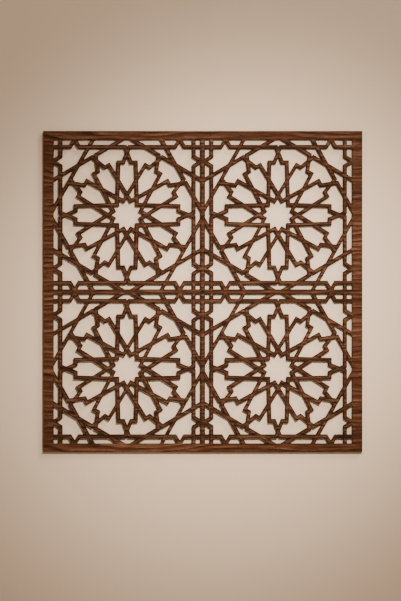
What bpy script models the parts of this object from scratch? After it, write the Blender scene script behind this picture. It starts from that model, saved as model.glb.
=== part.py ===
# Fretwork panel for a ceiling: one square sheet of dark wood, cut through with
# four twelve-petal rosettes, and the screw that fixes it at its centre.
# It stands upright here. The front face is toward -Y, the back face lies on the
# plane y = 0, and the origin is at the centre of the back.

import math

import bmesh
import bpy
from mathutils import Vector
from mathutils.geometry import delaunay_2d_cdt

# The sheet and its frame, in metres
panel_width = 0.600
panel_height = 0.604
panel_thickness = 0.008
stile_width = 0.0191
rail_width = 0.0160
frame_lap = 0.0034  # how far the frame reaches in over the outer tile lines
middle_bar_width = 0.0086
bar_width = 0.0070

# The rosette, as shares of half a tile
petals_in_quarter = 3
core_radius = 0.1861  # inner corners of the star in the middle
petal_half_width = 0.1147  # at the petal's shoulders
notch_half_width = 0.0516  # where the shoulders stop, at the notch
notch_depth = 0.1295  # from the shoulders out to where the tip lines cross
tip_length = 0.0717  # from there out to the ring
ring_gap = 0.1173  # from the ring of lines around the petals to the tile's edge
jog_place = 0.6964  # along the ring's four straight sides
jog_half_width = 0.0606
jog_height = 0.1
overrun = 0.05  # lines that leave the tile stop this far outside it

# The fixing screw, in metres
head_diameter = 0.0066
head_height = 0.0019
head_rounding = 0.0009
shank_diameter = 0.0030
clearance = 0.0003
round_steps = 20
rounding_steps = 3

# The layout is one tile with its centre at the origin. Its sides toward -X and -Y
# are the centre lines of the middle bars, and the frame covers the other two.
tile_width = panel_width / 2 - stile_width + frame_lap
tile_height = panel_height / 2 - rail_width + frame_lap
petal_count = 4 * petals_in_quarter
ring_radius = 1 - ring_gap
crossing_radius = ring_radius - tip_length
shoulder_radius = crossing_radius - notch_depth
past_edge = 1 + overrun
merge_distance = 1e-6
share_digits = 8

# What a flat layout is divided into, and which of its loops is the sheet's edge
whole_cells = 3
triangles = 1
sheet_loop = 0


def clear_scene():
    for obj in list(bpy.data.objects):
        bpy.data.objects.remove(obj)


def material(name, colour, roughness, metallic):
    made = bpy.data.materials.new(name)
    made.use_nodes = True
    shader = made.node_tree.nodes["Principled BSDF"]
    shader.inputs["Base Color"].default_value = (*colour, 1)
    shader.inputs["Roughness"].default_value = roughness
    shader.inputs["Metallic"].default_value = metallic
    return made


def add_object(name, mesh_data, finish):
    mesh = bpy.data.meshes.new(name)
    mesh_data.to_mesh(mesh)
    mesh_data.free()
    mesh.materials.append(finish)
    obj = bpy.data.objects.new(name, mesh)
    bpy.context.scene.collection.objects.link(obj)
    return obj


def turned(point, step):
    """The point, turned about the tile's centre by this many petals."""
    turn = step * math.tau / petal_count
    x, y = point
    return (
        x * math.cos(turn) - y * math.sin(turn),
        x * math.sin(turn) + y * math.cos(turn),
    )


def past_tile_edge(start, direction):
    """Where the line from start along direction is just outside the tile."""
    reach = min(
        (math.copysign(past_edge, along) - place) / along
        for place, along in zip(start, direction)
        if abs(along) > merge_distance
    )
    return tuple(place + along * reach for place, along in zip(start, direction))


def tip_offset():
    """How far from the petal's axis a tip line is where it meets the ring."""
    return tip_length * notch_half_width / notch_depth


def petal_side(side):
    """One side of a petal on +X: up its side, over the shoulder, across the tip."""
    core = core_radius / math.sqrt(2)
    return [
        (core, side * core),
        (shoulder_radius, side * petal_half_width),
        (shoulder_radius, side * notch_half_width),
        (ring_radius, -side * tip_offset()),
    ]


def ring_side(step, side):
    """The ring's line from a petal's tip, toward one side, out of the tile."""
    start = turned((ring_radius, side * tip_offset()), step)
    direction = turned((0, side), step)
    return [start, past_tile_edge(start, direction)]


def ring_jog(side):
    """Two lines from the tile's edge back to the ring, which make the jog in it."""
    apex = (ring_radius + jog_height, side * jog_place)
    return [
        [(ring_radius, side * (jog_place - jog_half_width)), apex],
        [apex, (ring_radius, side * (jog_place + jog_half_width))],
        [apex, (past_edge, side * jog_place)],
    ]


def ring_with_jog(side):
    """The ring's line on +X, which is open between the jog's two arms."""
    return [
        [
            (ring_radius, side * tip_offset()),
            (ring_radius, side * (jog_place - jog_half_width)),
        ],
        [
            (ring_radius, side * (jog_place + jog_half_width)),
            (ring_radius, side * past_edge),
        ],
        *ring_jog(side),
    ]


def tile_lines():
    """The centre lines of one tile's bars, each a run of points."""
    lines = [[(-1, -1), (1, -1), (1, 1), (-1, 1), (-1, -1)]]
    for step in range(petal_count):
        for side in (1, -1):
            lines.append([turned(point, step) for point in petal_side(side)])
            if step % petals_in_quarter:
                lines.append(ring_side(step, side))
            else:
                for line in ring_with_jog(side):
                    lines.append([turned(point, step) for point in line])
    return lines


def tile_cells():
    """The cells between the centre lines, as loops of points in metres."""
    places = {}
    edges = []
    for line in tile_lines():
        met = [tuple(round(share, share_digits) for share in point) for point in line]
        ends = [places.setdefault(point, len(places)) for point in met]
        edges += zip(ends, ends[1:])
    points = [Vector((x * tile_width / 2, y * tile_height / 2)) for x, y in places]
    corners, _, cells, *_ = delaunay_2d_cdt(points, edges, [], whole_cells, merge_distance)
    return [[corners[i] for i in cell] for cell in cells]


def half_width(start, end):
    """Half the width of the bar whose centre line runs from start to end."""
    for axis, size in enumerate((tile_width, tile_height)):
        on_edge = size / 2 - merge_distance
        if abs(start[axis]) > on_edge and abs(start[axis] - end[axis]) < merge_distance:
            return frame_lap if start[axis] > 0 else middle_bar_width / 2
    return bar_width / 2


def bar_sides(cell):
    """The lines along the cell's bars, on the cell's side, as (point, direction)."""
    sides = []
    for start, end in zip(cell, cell[1:] + cell[:1]):
        along = (end - start).normalized()
        inward = Vector((-along.y, along.x))
        point = start + inward * half_width(start, end)
        if sides and along.dot(sides[-1][1]) > 1 - merge_distance:
            continue
        sides.append((point, along))
    if sides[0][1].dot(sides[-1][1]) > 1 - merge_distance:
        sides.pop()
    return sides


def crossing(first, second):
    """Where two lines meet, each given as (point, direction)."""
    (here, along), (there, other) = first, second
    return here + along * ((there - here).cross(other) / along.cross(other))


def opening(cell):
    """What is left of a cell between its bars, or nothing where they fill it."""
    sides = bar_sides(cell)
    while len(sides) > 2:
        corners = [crossing(sides[i - 1], side) for i, side in enumerate(sides)]
        ends = corners[1:] + corners[:1]
        lengths = [
            (end - start).dot(along)
            for start, end, (_, along) in zip(corners, ends, sides)
        ]
        shortest = lengths.index(min(lengths))
        if lengths[shortest] > merge_distance:
            return corners
        sides.pop(shortest)
    return []


def rectangle(width, height):
    corners = ((-1, -1), (1, -1), (1, 1), (-1, 1))
    return [Vector((x * width / 2, y * height / 2)) for x, y in corners]


def in_quarter(loop, x_side, y_side):
    """The tile's loop in one quarter of the panel, still counterclockwise."""
    placed = [
        Vector(((x + tile_width / 2) * x_side, (y + tile_height / 2) * y_side))
        for x, y in loop
    ]
    return placed if x_side == y_side else placed[::-1]


def circle(radius):
    turns = [step * math.tau / round_steps for step in range(round_steps)]
    return [Vector((math.cos(turn), math.sin(turn))) * radius for turn in turns]


def sheet_outlines():
    """The sheet's edge, its openings and its screw hole, as loops of points."""
    openings = [loop for loop in map(opening, tile_cells()) if loop]
    outlines = [
        rectangle(panel_width, panel_height),
        circle(shank_diameter / 2 + clearance),
    ]
    for x_side in (1, -1):
        for y_side in (1, -1):
            outlines += [in_quarter(loop, x_side, y_side) for loop in openings]
    return outlines


def fretwork_panel(finish):
    """The sheet: its front face around the openings, then made as thick as it is."""
    points = []
    loops = []
    for outline in sheet_outlines():
        loops.append(range(len(points), len(points) + len(outline)))
        points += outline
    layout = delaunay_2d_cdt(points, [], loops, triangles, merge_distance)
    corners, _, faces, _, _, loops_over = layout
    sheet = bmesh.new()
    front = [sheet.verts.new((x, -panel_thickness, z)) for x, z in corners]
    for face, over in zip(faces, loops_over):
        if over == [sheet_loop]:
            sheet.faces.new([front[i] for i in face])
    made = add_object("fretwork_panel", sheet, finish)
    solid = made.modifiers.new("thickness", "SOLIDIFY")
    solid.thickness = panel_thickness
    solid.offset = -1
    return made


def screw_profile():
    """The screw's half outline, from the middle of its head to the middle of its end."""
    underside = -panel_thickness - clearance
    top = underside - head_height
    radius = head_diameter / 2
    rounded = []
    for step in range(rounding_steps + 1):
        turn = step / rounding_steps * math.pi / 2
        rounded.append(
            (
                radius - head_rounding * (1 - math.sin(turn)),
                top + head_rounding * (1 - math.cos(turn)),
            )
        )
    shank = shank_diameter / 2
    return [(0, top), *rounded, (radius, underside), (shank, underside), (shank, 0), (0, 0)]


def centre_screw(finish):
    """The round-headed screw through the crossing of the middle bars."""
    screw = bmesh.new()
    profile = [screw.verts.new((radius, depth, 0)) for radius, depth in screw_profile()]
    edges = [screw.edges.new(pair) for pair in zip(profile, profile[1:])]
    bmesh.ops.spin(
        screw,
        geom=profile + edges,
        cent=(0, 0, 0),
        axis=(0, 1, 0),
        angle=math.tau,
        steps=round_steps,
        use_merge=True,
    )
    bmesh.ops.remove_doubles(screw, verts=screw.verts, dist=merge_distance)
    bmesh.ops.recalc_face_normals(screw, faces=screw.faces)
    made = add_object("centre_screw", screw, finish)
    made.data.shade_smooth()
    made.data.set_sharp_from_angle(angle=math.radians(40))
    return made


def main():
    clear_scene()
    walnut = material("dark_walnut", (0.130, 0.052, 0.024), 0.55, 0)
    dark_steel = material("dark_steel", (0.030, 0.030, 0.036), 0.42, 1)
    fretwork_panel(walnut)
    centre_screw(dark_steel)


main()
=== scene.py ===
import math

import bmesh
import bpy
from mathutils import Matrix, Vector


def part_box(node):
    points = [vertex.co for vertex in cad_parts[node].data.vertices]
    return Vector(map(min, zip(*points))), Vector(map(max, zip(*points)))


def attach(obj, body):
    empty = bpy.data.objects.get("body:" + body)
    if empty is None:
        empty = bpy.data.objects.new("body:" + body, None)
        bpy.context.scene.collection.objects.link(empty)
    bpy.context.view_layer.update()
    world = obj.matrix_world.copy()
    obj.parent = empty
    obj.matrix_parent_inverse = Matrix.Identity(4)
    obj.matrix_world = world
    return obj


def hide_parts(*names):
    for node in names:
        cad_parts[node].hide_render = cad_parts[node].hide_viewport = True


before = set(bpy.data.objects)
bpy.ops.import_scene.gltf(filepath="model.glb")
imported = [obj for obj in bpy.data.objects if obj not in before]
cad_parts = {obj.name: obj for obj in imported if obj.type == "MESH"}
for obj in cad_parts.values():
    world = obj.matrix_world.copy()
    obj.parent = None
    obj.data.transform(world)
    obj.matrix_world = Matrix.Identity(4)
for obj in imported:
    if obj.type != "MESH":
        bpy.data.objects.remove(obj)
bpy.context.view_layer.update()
print("frame loaded:", sorted(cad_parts))


# Modelling helpers

squareOn = 0.99  # a face with this much of its normal along y is a front or a back face
sameDepth = 1e-6  # metres


def deselectAll():
    bpy.ops.object.select_all(action="DESELECT")


def makeActive(piece):
    deselectAll()
    piece.select_set(True)
    bpy.context.view_layer.objects.active = piece


def startEdit(piece):
    makeActive(piece)
    bpy.ops.object.mode_set(mode="EDIT")
    bpy.ops.mesh.select_mode(type="FACE")
    bpy.ops.mesh.select_all(action="DESELECT")


def stopEdit():
    bpy.ops.object.mode_set(mode="OBJECT")


def selectFaces(piece, wanted):
    bpy.ops.mesh.select_mode(type="FACE")
    mesh = bmesh.from_edit_mesh(piece.data)
    for face in mesh.faces:
        face.select_set(wanted(face))
    bmesh.update_edit_mesh(piece.data)


def selectEdges(piece, wanted):
    bpy.ops.mesh.select_mode(type="EDGE")
    mesh = bmesh.from_edit_mesh(piece.data)
    for edge in mesh.edges:
        edge.select_set(wanted(edge))
    bmesh.update_edit_mesh(piece.data)


def moveSelected(along):
    bpy.ops.transform.translate(value=(0, along, 0))


def facesFront(face):
    return face.normal.y < -squareOn


def facesBack(face):
    return face.normal.y > squareOn


def facesAside(face):
    return not facesFront(face) and not facesBack(face)


def onRing(edge, place):
    return all(abs(vert.co.y - place) < sameDepth for vert in edge.verts)


def assignMaterial(piece, slotIndex, wanted):
    selectFaces(piece, wanted)
    piece.active_material_index = slotIndex
    bpy.ops.object.material_slot_assign()


def applyModifiers(piece):
    makeActive(piece)
    for modifier in list(piece.modifiers):
        bpy.ops.object.modifier_apply(modifier=modifier.name)


# Material helpers

def addNode(tree, kind, sockets=None, **settings):
    # A socket given a number or a colour is set, and one given an output is linked to it.
    node = tree.nodes.new(kind)
    for name, value in settings.items():
        setattr(node, name, value)
    for name, value in (sockets or {}).items():
        if isinstance(value, bpy.types.NodeSocket):
            tree.links.new(value, node.inputs[name])
        else:
            node.inputs[name].default_value = value
    return node


def addMath(tree, operation, *values):
    node = addNode(tree, "ShaderNodeMath", dict(enumerate(values)), operation=operation)
    return node.outputs[0]


def addRange(tree, value, low, high, newLow=0.0, newHigh=1.0):
    sockets = {
        "Value": value,
        "From Min": low,
        "From Max": high,
        "To Min": newLow,
        "To Max": newHigh,
    }
    node = addNode(tree, "ShaderNodeMapRange", sockets, interpolation_type="SMOOTHSTEP")
    return node.outputs[0]


def addColourMix(tree, factor, first, second):
    # The Mix node has sockets of one name for each kind of value, so these go by number.
    factorSocket, firstSocket, secondSocket, resultSocket = 0, 6, 7, 2
    sockets = {factorSocket: factor, firstSocket: first, secondSocket: second}
    node = addNode(tree, "ShaderNodeMix", sockets, data_type="RGBA")
    return node.outputs[resultSocket]


def addNoise(tree, place, cycles, detail, roughness=0.5, shift=0.0):
    # cycles is how many waves fit in a metre along x, y and z.
    mapped = addNode(
        tree,
        "ShaderNodeMapping",
        {"Vector": place, "Location": (shift, shift, shift), "Scale": cycles},
    )
    noise = addNode(
        tree,
        "ShaderNodeTexNoise",
        {"Vector": mapped.outputs[0], "Scale": 1.0, "Detail": detail, "Roughness": roughness},
    )
    return noise.outputs["Fac"]


def newGroup(name, inputs, outputs):
    group = bpy.data.node_groups.new(name, "ShaderNodeTree")
    for direction, sockets in (("INPUT", inputs), ("OUTPUT", outputs)):
        for socketName, socketType in sockets.items():
            group.interface.new_socket(
                name=socketName, in_out=direction, socket_type="NodeSocket" + socketType
            )
    given = group.nodes.new("NodeGroupInput").outputs
    result = group.nodes.new("NodeGroupOutput").inputs
    return group, given, result


def useGroup(tree, group, **sockets):
    return addNode(tree, "ShaderNodeGroup", sockets, node_tree=group).outputs


def newMaterial(name, **constants):
    # What is the same all over goes straight on the shader's own sockets.
    material = bpy.data.materials.new(name)
    material.use_nodes = True
    tree = material.node_tree
    shader = tree.nodes["Principled BSDF"]
    for socket, value in constants.items():
        shader.inputs[socket.replace("_", " ")].default_value = value
    place = addNode(tree, "ShaderNodeTexCoord").outputs["Object"]
    return material, tree, shader.inputs, place


def addBump(tree, shader, height, distance, strength=1.0):
    bump = addNode(
        tree,
        "ShaderNodeBump",
        {"Height": height, "Strength": strength, "Distance": distance},
    )
    tree.links.new(bump.outputs["Normal"], shader["Normal"])


# Effects that several finishes share, as node groups. A layer of noise is given as its
# waves in a metre along x, y and z, its detail, its roughness and its shift.

noiseMiddle = 0.5  # what noise is on average

grainValues = {
    "wander": ((4.0, 10.0, 10.0), 2.0, 0.5, 0.0),
    "wanderLift": 0.03,  # metres that a fibre rises as wander goes from 0 to 1
    "figure": ((4.0, 24.0, 24.0), 2.0, 0.5, 17.6),
    "streaks": ((15.0, 150.0, 150.0), 3.0, 0.6, 7.7),
    "dashes": ((38.0, 420.0, 420.0), 2.0, 0.5, 1.9),
    "fibres": ((60.0, 1500.0, 1500.0), 2.0, 0.6, 5.3),
    "yearsInMetre": 105.0,  # rings in a metre of height where the figure is even
    "yearsInFigure": 5.0,  # rings between the figure's 0 and 1
    "lateWood": (0.3, 1.0),  # the part of a year in which its wood darkens
    "ringShows": (0.35, 0.6),  # rings go from faint to clear between these streak values
    "faintRing": 0.3,
    "weights": (0.4, 0.6, 0.7, 0.6, -0.5),  # figure, streaks, dashes, fibres, late wood
    "balance": -1.02,  # takes the sum of the layers to about 0
    "middleTone": 0.5,
    "pores": ((170.0, 3000.0, 3000.0), 0.0, 0.5, 9.2),
    "poreEdge": (0.65, 0.73),
    "poreDepth": 0.8,  # against the height of the fibres
}

scorchValues = {
    "ragged": ((420.0, 420.0, 420.0), 2.0, 0.6),
    "raggedness": 0.3,
    "fade": (0.0, 0.9),  # from clean wood to fully smoked wood
}

mottleValues = {
    "patches": ((1.0, 1.0, 1.0), 4.0, 0.6),
    "patchEdge": (0.3, 0.7),
}


def makeGrainGroup():
    # Straight grain along x: yearly rings, broad figure, streaks, fibres and open pores.
    values = grainValues
    group, given, result = newGroup(
        "straightGrain",
        {
            "Place": "Vector",
            "Dark": "Color",
            "Middle": "Color",
            "Light": "Color",
            "Pore": "Color",
            "Contrast": "Float",
        },
        {"Colour": "Color", "Height": "Float"},
    )
    # The fibres rise and fall a little along the board.
    wander = addNoise(group, given["Place"], *values["wander"])
    fromMiddle = addMath(group, "SUBTRACT", wander, noiseMiddle)
    lift = addMath(group, "MULTIPLY", fromMiddle, values["wanderLift"])
    offset = addNode(group, "ShaderNodeCombineXYZ", {"Z": lift}).outputs[0]
    moved = addNode(
        group, "ShaderNodeVectorMath", {0: given["Place"], 1: offset}, operation="ADD"
    )
    place = moved.outputs[0]

    figure = addNoise(group, place, *values["figure"])
    streaks = addNoise(group, place, *values["streaks"])
    dashes = addNoise(group, place, *values["dashes"])
    fibres = addNoise(group, place, *values["fibres"])

    # Each year darkens slowly to a sharp line, and the lines fade in and out.
    height = addNode(group, "ShaderNodeSeparateXYZ", {"Vector": place}).outputs["Z"]
    evenYears = addMath(group, "MULTIPLY", height, values["yearsInMetre"])
    years = addMath(group, "MULTIPLY_ADD", figure, values["yearsInFigure"], evenYears)
    rings = addRange(group, addMath(group, "FRACT", years), *values["lateWood"])
    ringStrength = addRange(group, streaks, *values["ringShows"], values["faintRing"])
    late = addMath(group, "MULTIPLY", rings, ringStrength)

    mixed = values["balance"]
    for layer, weight in zip((figure, streaks, dashes, fibres, late), values["weights"]):
        mixed = addMath(group, "MULTIPLY_ADD", layer, weight, mixed)
    middle = values["middleTone"]
    tone = addMath(group, "MULTIPLY_ADD", mixed, given["Contrast"], middle)
    toMiddle = addRange(group, tone, 0.0, middle)
    toLight = addRange(group, tone, middle, 1.0)
    lower = addColourMix(group, toMiddle, given["Dark"], given["Middle"])
    wood = addColourMix(group, toLight, lower, given["Light"])

    poreNoise = addNoise(group, place, *values["pores"])
    pores = addRange(group, poreNoise, *values["poreEdge"])
    coloured = addColourMix(group, pores, wood, given["Pore"])
    group.links.new(coloured, result["Colour"])
    raised = addMath(group, "MULTIPLY_ADD", pores, -values["poreDepth"], fibres)
    group.links.new(raised, result["Height"])
    return group


def makeScorchGroup():
    # Smoke-darkened wood beside a cut: Edge is 1 on the cut and falls to 0 over the reach.
    values = scorchValues
    group, given, result = newGroup(
        "cutScorch",
        {"Place": "Vector", "Edge": "Float", "Strength": "Float"},
        {"Mask": "Float"},
    )
    raggedness = values["raggedness"]
    ragged = addNoise(group, given["Place"], *values["ragged"])
    uneven = addMath(group, "MULTIPLY_ADD", ragged, raggedness, -raggedness * noiseMiddle)
    edge = addMath(group, "ADD", given["Edge"], uneven)
    mask = addRange(group, edge, *values["fade"])
    group.links.new(addMath(group, "MULTIPLY", mask, given["Strength"]), result["Mask"])
    return group


def makeMottleGroup():
    # Handling and age: soft uneven patches with finer specks, about 0.5 on average.
    values = mottleValues
    group, given, result = newGroup(
        "softMottle", {"Place": "Vector", "Cycles": "Float"}, {"Mask": "Float"}
    )
    vectorSocket, scaleSocket = 0, 3
    scaled = addNode(
        group,
        "ShaderNodeVectorMath",
        {vectorSocket: given["Place"], scaleSocket: given["Cycles"]},
        operation="SCALE",
    )
    patches = addNoise(group, scaled.outputs[0], *values["patches"])
    group.links.new(addRange(group, patches, *values["patchEdge"]), result["Mask"])
    return group


grainGroup = makeGrainGroup()
scorchGroup = makeScorchGroup()
mottleGroup = makeMottleGroup()
print("shared node groups made:", len(bpy.data.node_groups))


# The finishes of the panel

walnutValues = {
    "dark": (0.024, 0.0058, 0.0014, 1.0),
    "middle": (0.068, 0.0205, 0.0062, 1.0),
    "light": (0.166, 0.0660, 0.0300, 1.0),
    "pore": (0.014, 0.005, 0.002, 1.0),
    "contrast": 1.3,
    "scorched": (0.010, 0.0040, 0.0018, 1.0),
    "scorchStrength": 0.78,
    "patches": 24.0,  # soft patches of sheen in a metre
    "roughness": (0.55, 0.68),
    "scorchDullness": 0.2,
    "specular": 0.06,
    "relief": 0.00012,  # metres
}

# The back is the same board, sanded less finely and stained thinly.
backValues = {
    "dark": (0.060, 0.020, 0.008, 1.0),
    "middle": (0.140, 0.052, 0.021, 1.0),
    "light": (0.230, 0.095, 0.042, 1.0),
    "pore": (0.012, 0.004, 0.0015, 1.0),
    "contrast": 1.1,
    "scorched": (0.007, 0.0025, 0.001, 1.0),
    "scorchStrength": 0.7,
    "patches": 14.0,
    "roughness": (0.66, 0.80),
    "scorchDullness": 0.1,
    "specular": 0.06,
    "relief": 0.00016,
}

cutValues = {
    "char": (0.008, 0.0032, 0.0016, 1.0),
    "streak": (0.036, 0.013, 0.006, 1.0),
    "smoked": (0.018, 0.007, 0.0035, 1.0),
    "lines": ((900.0, 8.0, 900.0), 2.0, 0.6),  # they run through the thickness
    "lineEdge": (0.35, 0.65),
    "patches": 110.0,
    "roughness": (0.66, 0.86),
    "roughnessEdge": (0.3, 0.7),
    "specular": 0.03,
    "relief": 0.00015,
}


def makeWalnut(name, values):
    material, tree, shader, place = newMaterial(name, Specular_IOR_Level=values["specular"])
    grain = useGroup(
        tree,
        grainGroup,
        Place=place,
        Dark=values["dark"],
        Middle=values["middle"],
        Light=values["light"],
        Pore=values["pore"],
        Contrast=values["contrast"],
    )
    edge = addNode(tree, "ShaderNodeAttribute", attribute_name="cutEdge").outputs["Fac"]
    scorch = useGroup(
        tree, scorchGroup, Place=place, Edge=edge, Strength=values["scorchStrength"]
    )["Mask"]
    colour = addColourMix(tree, scorch, grain["Colour"], values["scorched"])
    tree.links.new(colour, shader["Base Color"])
    mottle = useGroup(tree, mottleGroup, Place=place, Cycles=values["patches"])["Mask"]
    satin = addRange(tree, mottle, 0.0, 1.0, *values["roughness"])
    dull = addMath(tree, "MULTIPLY_ADD", scorch, values["scorchDullness"], satin)
    tree.links.new(dull, shader["Roughness"])
    addBump(tree, shader, grain["Height"], values["relief"])
    return material


def makeCutWall():
    # The cut walls are charred, with fine lines across the thickness.
    values = cutValues
    material, tree, shader, place = newMaterial(
        "charredCut", Specular_IOR_Level=values["specular"]
    )
    lines = addNoise(tree, place, *values["lines"])
    lineMask = addRange(tree, lines, *values["lineEdge"])
    streaked = addColourMix(tree, lineMask, values["char"], values["streak"])
    patches = useGroup(tree, mottleGroup, Place=place, Cycles=values["patches"])["Mask"]
    colour = addColourMix(tree, patches, streaked, values["smoked"])
    tree.links.new(colour, shader["Base Color"])
    dull = addRange(tree, lines, *values["roughnessEdge"], *values["roughness"])
    tree.links.new(dull, shader["Roughness"])
    addBump(tree, shader, lines, values["relief"])
    return material


# The panel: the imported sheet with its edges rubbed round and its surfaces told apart

panelValues = {
    "slots": {"front": 0, "cut": 1, "back": 2},  # in the order that the finishes are added
    "mergeGap": 0.00001,
    "frontRound": 0.0005,  # radius that the front edges are rubbed to
    "frontSteps": 4,
    "backRound": 0.0002,
    "backSteps": 1,
    "scorchReach": 0.0019,  # how far the smoke of the cut reaches over the face
    "borderWidth": (0.0192, 0.0161),  # the stiles and the rails
    "edgeSmoke": (1.0, 0.4),  # on the bars' edges, and on the border's, which are sanded again
    "faceSmoke": (0.25, 0.0),  # further in: the bars are thin enough to be smoked right across
    "holeReach": 0.00185,  # the screw hole is all within this of the middle
    "smoothAngle": 25,  # degrees, between the steps of a rounded edge and the next
}


def roundRim(radius, steps, outward):
    # Works on the selected flat face: one ring for each step of a quarter circle.
    angles = [step / steps * math.pi / 2 for step in range(steps + 1)]
    moveSelected(-outward * radius)
    for angle, nextAngle in zip(angles, angles[1:]):
        bpy.ops.mesh.inset(
            thickness=radius * (math.cos(angle) - math.cos(nextAngle)),
            use_even_offset=True,
            use_boundary=True,
        )
        moveSelected(outward * radius * (math.sin(nextAngle) - math.sin(angle)))


def markSmoke(piece, smoke):
    # Writes how smoked the selected points are, on the bars and on the border.
    low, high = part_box("fretwork_panel")
    stile, rail = panelValues["borderWidth"]
    onBars, onBorder = smoke
    mesh = bmesh.from_edit_mesh(piece.data)
    layer = mesh.verts.layers.float["cutEdge"]
    for vert in mesh.verts:
        if vert.select:
            fromSide = min(vert.co.x - low.x, high.x - vert.co.x)
            fromEnd = min(vert.co.z - low.z, high.z - vert.co.z)
            vert[layer] = onBorder if fromSide < stile or fromEnd < rail else onBars
    bmesh.update_edit_mesh(piece.data)


def inHole(face):
    reach = panelValues["holeReach"]
    return all(math.hypot(vert.co.x, vert.co.z) < reach for vert in face.verts)


def closeHole(piece):
    # The screw hides the hole's rim, which stays sharp, so the hole is shut for the dressing.
    selectFaces(piece, inHole)
    bpy.ops.mesh.delete(type="FACE")
    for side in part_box("fretwork_panel"):
        selectEdges(piece, lambda edge: edge.is_boundary and onRing(edge, side.y))
        bpy.ops.mesh.edge_face_add()
    bpy.ops.mesh.select_all(action="SELECT")
    bpy.ops.mesh.normals_make_consistent(inside=False)


def openHole(piece):
    selectFaces(piece, inHole)
    bpy.ops.mesh.delete(type="FACE")
    selectEdges(piece, lambda edge: edge.is_boundary)
    bpy.ops.mesh.bridge_edge_loops()
    assignMaterial(piece, panelValues["slots"]["cut"], inHole)


def dressSide(piece, wanted, radius, steps, outward):
    # Rounds the rim of one flat side, then fades the cut's mark over a ring inside it.
    selectFaces(piece, wanted)
    roundRim(radius, steps, outward)
    bpy.ops.mesh.inset(
        thickness=panelValues["scorchReach"], use_even_offset=True, use_boundary=True
    )
    markSmoke(piece, panelValues["faceSmoke"])


def makePanel():
    values = panelValues
    slots = values["slots"]
    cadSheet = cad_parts["fretwork_panel"]
    panel = cadSheet.copy()
    panel.data = cadSheet.data.copy()
    panel.name = "walnutFretwork"
    panel.parent = None
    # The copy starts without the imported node's own marks and finish.
    for key in list(panel.keys()):
        del panel[key]
    bpy.context.scene.collection.objects.link(panel)
    panel.data.materials.clear()
    faceWood = makeWalnut("walnutFace", walnutValues)
    backWood = makeWalnut("walnutBack", backValues)
    for material in (faceWood, makeCutWall(), backWood):
        panel.data.materials.append(material)

    startEdit(panel)
    bpy.ops.mesh.select_all(action="SELECT")
    bpy.ops.mesh.remove_doubles(threshold=values["mergeGap"])
    mesh = bmesh.from_edit_mesh(panel.data)
    mesh.verts.layers.float.new("cutEdge")
    markSmoke(panel, values["edgeSmoke"])
    assignMaterial(panel, slots["cut"], facesAside)
    assignMaterial(panel, slots["front"], facesFront)
    assignMaterial(panel, slots["back"], facesBack)
    closeHole(panel)
    dressSide(panel, facesFront, values["frontRound"], values["frontSteps"], outward=-1)
    dressSide(panel, facesBack, values["backRound"], values["backSteps"], outward=1)
    openHole(panel)
    stopEdit()

    makeActive(panel)
    bpy.ops.object.shade_smooth_by_angle(angle=math.radians(values["smoothAngle"]))
    panel.modifiers.new("flatFacesStayFlat", "WEIGHTED_NORMAL").keep_sharp = True
    applyModifiers(panel)
    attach(panel, "root")
    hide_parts("fretwork_panel")
    return panel


panel = makePanel()
print("panel made:", len(panel.data.polygons), "faces")


# The fixing screw

screwValues = {
    "sides": 48,
    "headHeight": 0.0019,
    "headRound": 0.0009,
    "headSteps": 5,
    "shankRadius": 0.0015,
    "endRound": 0.0003,
    "endSteps": 2,
    "recessLength": 0.0038,
    "recessWidth": 0.0010,
    "recessDepth": 0.0011,
    "recessTaper": 0.55,
    "smoothAngle": 35,  # degrees
}

steelValues = {
    "dark": (0.0040, 0.0030, 0.0024, 1.0),
    "rubbed": (0.0110, 0.0088, 0.0074, 1.0),
    "patches": 900.0,
    "roughness": (0.72, 0.56),  # dark to rubbed
    "metallic": 0.5,
    "specular": 0.2,
    "relief": 0.00002,
}


def makeDarkSteel():
    # Black phosphate over steel, thin and dull, rubbed a little brighter in patches.
    values = steelValues
    material, tree, shader, place = newMaterial(
        "phosphatedSteel",
        Metallic=values["metallic"],
        Specular_IOR_Level=values["specular"],
    )
    mottle = useGroup(tree, mottleGroup, Place=place, Cycles=values["patches"])["Mask"]
    colour = addColourMix(tree, mottle, values["dark"], values["rubbed"])
    tree.links.new(colour, shader["Base Color"])
    dull = addRange(tree, mottle, 0.0, 1.0, *values["roughness"])
    tree.links.new(dull, shader["Roughness"])
    addBump(tree, shader, mottle, values["relief"])
    return material


def makeRecessCutter(along):
    # One wing of the cross recess, narrower at its floor.
    values = screwValues
    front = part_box("centre_screw")[0].y
    length, width, depth = values["recessLength"], values["recessWidth"], values["recessDepth"]
    deselectAll()
    bpy.ops.mesh.primitive_cube_add(size=1, location=(0, front, 0))
    cutter = bpy.context.active_object
    cutter.scale = (length, 2 * depth, width) if along == "x" else (width, 2 * depth, length)
    bpy.ops.object.transform_apply(location=True, rotation=True, scale=True)
    startEdit(cutter)
    selectFaces(cutter, facesBack)
    taper = values["recessTaper"]
    bpy.ops.transform.resize(value=(taper, 1, taper))
    stopEdit()
    return cutter


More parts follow.
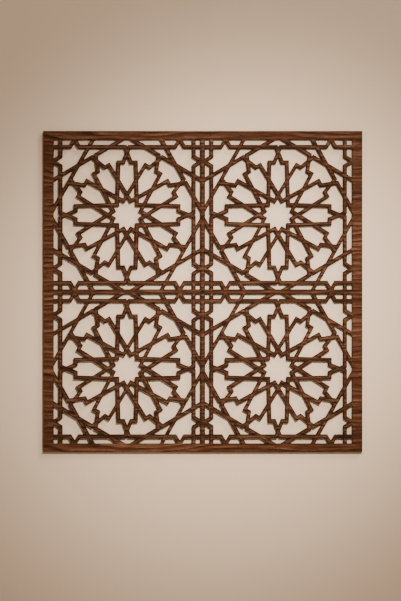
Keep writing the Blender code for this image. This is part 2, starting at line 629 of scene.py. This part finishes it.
def makeScrew():
    values = screwValues
    low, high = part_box("centre_screw")
    radius = (high.x - low.x) / 2
    underside = low.y + values["headHeight"]
    deselectAll()
    bpy.ops.mesh.primitive_cylinder_add(
        vertices=values["sides"],
        radius=radius,
        depth=values["headHeight"],
        location=(0, (low.y + underside) / 2, 0),
        rotation=(math.pi / 2, 0, 0),
    )
    screw = bpy.context.active_object
    screw.name = "centreScrewHead"
    bpy.ops.object.transform_apply(location=True, rotation=True, scale=True)

    startEdit(screw)
    selectEdges(screw, lambda edge: onRing(edge, low.y))
    bpy.ops.mesh.bevel(
        offset=values["headRound"], segments=values["headSteps"], affect="EDGES"
    )
    selectFaces(screw, lambda face: facesBack(face) and face.calc_center_median().y > low.y)
    bpy.ops.mesh.inset(thickness=radius - values["shankRadius"])
    bpy.ops.mesh.extrude_region_move(TRANSFORM_OT_translate={"value": (0, -underside, 0)})
    selectEdges(screw, lambda edge: onRing(edge, high.y))
    bpy.ops.mesh.bevel(
        offset=values["endRound"], segments=values["endSteps"], affect="EDGES"
    )
    stopEdit()

    for along in ("x", "z"):
        cutter = makeRecessCutter(along)
        cut = screw.modifiers.new("recess", "BOOLEAN")
        cut.operation = "DIFFERENCE"
        cut.solver = "EXACT"
        cut.object = cutter
        applyModifiers(screw)
        bpy.data.objects.remove(cutter)

    makeActive(screw)
    bpy.ops.object.shade_smooth_by_angle(angle=math.radians(values["smoothAngle"]))
    screw.data.materials.append(makeDarkSteel())
    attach(screw, "root")
    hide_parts("centre_screw")
    return screw


screw = makeScrew()
print("screw made:", len(screw.data.polygons), "faces")


# The studio: camera first, then the wall behind, the floor, the lights and the room

cameraValues = {
    "lens": 100.0,
    "sensor": 36.0,
    "place": (-0.0043, -3.147, -0.0167),
}


def makeCamera():
    values = cameraValues
    camera = bpy.data.cameras.new("camera")
    camera.lens = values["lens"]
    camera.sensor_width = values["sensor"]
    rig = bpy.data.objects.new("camera", camera)
    bpy.context.scene.collection.objects.link(rig)
    rig.location = values["place"]
    rig.rotation_euler = (math.pi / 2, 0, 0)
    bpy.context.scene.camera = rig


wallValues = {
    "size": (7.0, 3.4),
    "foot": -0.75,  # height of the wall's foot and of the floor
    "gap": 0.0004,  # between the panel's back and the wall
    "contact": 0.0015,  # the wall is clear to light that starts nearer to it than this
    "dark": (0.77, 0.528, 0.335, 1.0),
    "light": (0.81, 0.565, 0.365, 1.0),
    "rolled": ((240.0, 240.0, 240.0), 2.0),
    "relief": 0.0001,
    "reliefStrength": 0.3,
    "roughness": 0.9,
}


def makeWall():
    # A painted wall that only shows and only shades toward its front.
    values = wallValues
    width, height = values["size"]
    deselectAll()
    bpy.ops.mesh.primitive_plane_add(
        size=1,
        location=(0, values["gap"], values["foot"] + height / 2),
        rotation=(math.pi / 2, 0, 0),
    )
    wall = bpy.context.active_object
    wall.name = "wall"
    wall.scale = (width, height, 1)
    bpy.ops.object.transform_apply(location=True, rotation=True, scale=True)
    material, tree, shader, place = newMaterial("wallPaint", Roughness=values["roughness"])
    rolled = addNoise(tree, place, *values["rolled"])
    tint = addColourMix(tree, rolled, values["dark"], values["light"])
    tree.links.new(tint, shader["Base Color"])
    addBump(tree, shader, rolled, values["relief"], values["reliefStrength"])
    path = addNode(tree, "ShaderNodeLightPath").outputs["Ray Length"]
    behind = addNode(tree, "ShaderNodeNewGeometry").outputs["Backfacing"]
    touching = addMath(tree, "LESS_THAN", path, values["contact"])
    seenThrough = addMath(tree, "MAXIMUM", behind, touching)
    clear = addNode(tree, "ShaderNodeBsdfTransparent").outputs[0]
    output = tree.nodes["Material Output"]
    painted = tree.nodes["Principled BSDF"].outputs[0]
    mixed = addNode(tree, "ShaderNodeMixShader", {0: seenThrough, 1: painted, 2: clear})
    tree.links.new(mixed.outputs[0], output.inputs["Surface"])
    wall.data.materials.append(material)


floorValues = {
    "size": 60.0,
    "dark": (0.60, 0.57, 0.53, 1.0),
    "light": (0.66, 0.63, 0.59, 1.0),
    "uneven": ((3.0, 3.0, 3.0), 3.0),
    "roughness": 0.7,
}


def makeFloor():
    values = floorValues
    deselectAll()
    bpy.ops.mesh.primitive_plane_add(size=values["size"], location=(0, 0, wallValues["foot"]))
    floor = bpy.context.active_object
    floor.name = "floor"
    material, tree, shader, place = newMaterial("paleFloor", Roughness=values["roughness"])
    uneven = addNoise(tree, place, *values["uneven"])
    tint = addColourMix(tree, uneven, values["dark"], values["light"])
    tree.links.new(tint, shader["Base Color"])
    floor.data.materials.append(material)


lampValues = {
    "keyPlace": (0.47, -1.85, 0.76),
    "keyAim": (0.05, 0.0, -0.035),
    "keySize": 0.36,
    "keyPower": 340.0,
    "keyCone": 30,  # degrees across
    "keyFade": 1.0,  # the share of the cone over which it fades outward
    "sidePlace": (2.3, -1.9, 3.0),
    "sideSize": 1.0,
    "sidePower": 105.0,
    "backPlace": (-1.6, 3.0, 3.6),
    "backSoftness": 25,  # degrees across
    "backPower": 2.6,
}


def hangLamp(name, light, place, aim=(0, 0, 0)):
    lamp = bpy.data.objects.new(name, light)
    bpy.context.scene.collection.objects.link(lamp)
    lamp.location = place
    lamp.rotation_euler = (Vector(aim) - Vector(place)).to_track_quat("-Z", "Y").to_euler()


def makeKeyLight():
    # A near lamp that leaves a pool of light on the wall around the panel.
    values = lampValues
    light = bpy.data.lights.new("keyLight", "SPOT")
    light.shadow_soft_size = values["keySize"] / 2
    light.energy = values["keyPower"]
    light.spot_size = math.radians(values["keyCone"])
    light.spot_blend = values["keyFade"]
    hangLamp("keyLight", light, values["keyPlace"], values["keyAim"])


def makeSideLight():
    # A high lamp to the right, for the longer soft shadow below and to the left.
    values = lampValues
    light = bpy.data.lights.new("sideLight", "AREA")
    light.shape = "DISK"
    light.size = values["sideSize"]
    light.energy = values["sidePower"]
    hangLamp("sideLight", light, values["sidePlace"])


def makeBackLight():
    # Lights the back of the panel and the floor, but nothing that faces the front.
    values = lampValues
    light = bpy.data.lights.new("backLight", "SUN")
    light.angle = math.radians(values["backSoftness"])
    light.energy = values["backPower"]
    hangLamp("backLight", light, values["backPlace"])


roomValues = {
    "colour": (1.0, 0.98, 0.95, 1.0),
    "fill": 0.19,
    "backdrop": 0.85,  # brightness of the room where the camera sees it directly
}


def makeRoom():
    fill, backdrop = roomValues["fill"], roomValues["backdrop"]
    world = bpy.data.worlds.new("softRoom")
    world.use_nodes = True
    tree = world.node_tree
    background = tree.nodes["Background"].inputs
    background["Color"].default_value = roomValues["colour"]
    seen = addNode(tree, "ShaderNodeLightPath").outputs["Is Camera Ray"]
    brightness = addMath(tree, "MULTIPLY_ADD", seen, backdrop - fill, fill)
    tree.links.new(brightness, background["Strength"])
    bpy.context.scene.world = world


makeCamera()
makeWall()
makeFloor()
makeKeyLight()
makeSideLight()
makeBackLight()
makeRoom()
print("studio made")
